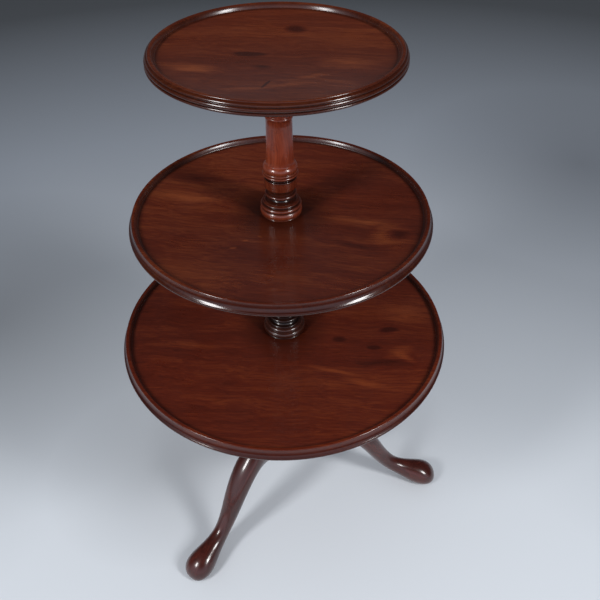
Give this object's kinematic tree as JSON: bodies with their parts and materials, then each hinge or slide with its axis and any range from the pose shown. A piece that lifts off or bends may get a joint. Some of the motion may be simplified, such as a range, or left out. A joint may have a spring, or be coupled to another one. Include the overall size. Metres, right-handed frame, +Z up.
{
  "type": "dumbwaiter table",
  "caption": "Tiered round dumbwaiter table in polished mahogany: dished revolving trays on a turned pillar that stands on cabriole legs with pad feet.",
  "frame": {"origin": "on the floor, at the middle of the bounding box; the pillar's axis stands at X = -0.018, because the legs reach past the trays on one side only", "axes": "+Z up the pillar; +X along one leg, the other legs at 120 and 240 degrees from it about the pillar"},
  "size_m": [0.652, 0.616, 1.014],
  "materials": {
    "polished_mahogany_tray": "French-polished mahogany, dark red-brown, low gloss with a clear sheen",
    "polished_mahogany_stem": "French-polished turned mahogany, glossy",
    "polished_mahogany_leg": "French-polished carved mahogany, glossy",
    "mahogany_boss": "turned mahogany, waxed, dull",
    "wrought_iron": "black wrought iron, matt",
    "steel_screw": "dulled steel, slotted heads"
  },
  "bodies": {
    "base": {"base_stem": "polished_mahogany_stem", "middle_stem": "polished_mahogany_stem", "upper_stem": "polished_mahogany_stem", "leg_right": "polished_mahogany_leg", "leg_back_left": "polished_mahogany_leg", "leg_front_left": "polished_mahogany_leg", "leg_brace": "wrought_iron", "brace_screw_centre": "steel_screw", "brace_screw_right": "steel_screw", "brace_screw_back_left": "steel_screw", "brace_screw_front_left": "steel_screw"},
    "bottom_tray": {"bottom_tier": "polished_mahogany_tray", "bottom_boss": "mahogany_boss", "bottom_boss_screw_1": "steel_screw", "bottom_boss_screw_2": "steel_screw", "bottom_boss_screw_3": "steel_screw", "bottom_boss_screw_4": "steel_screw"},
    "middle_tray": {"middle_tier": "polished_mahogany_tray", "middle_boss": "mahogany_boss", "middle_boss_screw_1": "steel_screw", "middle_boss_screw_2": "steel_screw", "middle_boss_screw_3": "steel_screw", "middle_boss_screw_4": "steel_screw"},
    "top_tray": {"top_tier": "polished_mahogany_tray", "top_boss": "mahogany_boss", "top_boss_screw_1": "steel_screw", "top_boss_screw_2": "steel_screw", "top_boss_screw_3": "steel_screw", "top_boss_screw_4": "steel_screw"}
  },
  "joints": [
    {"name": "bottom_tray_turn", "type": "hinge", "parent": "base", "child": "bottom_tray", "pos_m": [-0.018, 0, 0.4297], "axis": [0, 0, 1], "continuous": true},
    {"name": "middle_tray_turn", "type": "hinge", "parent": "base", "child": "middle_tray", "pos_m": [-0.018, 0, 0.6977], "axis": [0, 0, 1], "continuous": true},
    {"name": "top_tray_turn", "type": "hinge", "parent": "base", "child": "top_tray", "pos_m": [-0.018, 0, 0.9722], "axis": [0, 0, 1], "continuous": true}
  ]
}
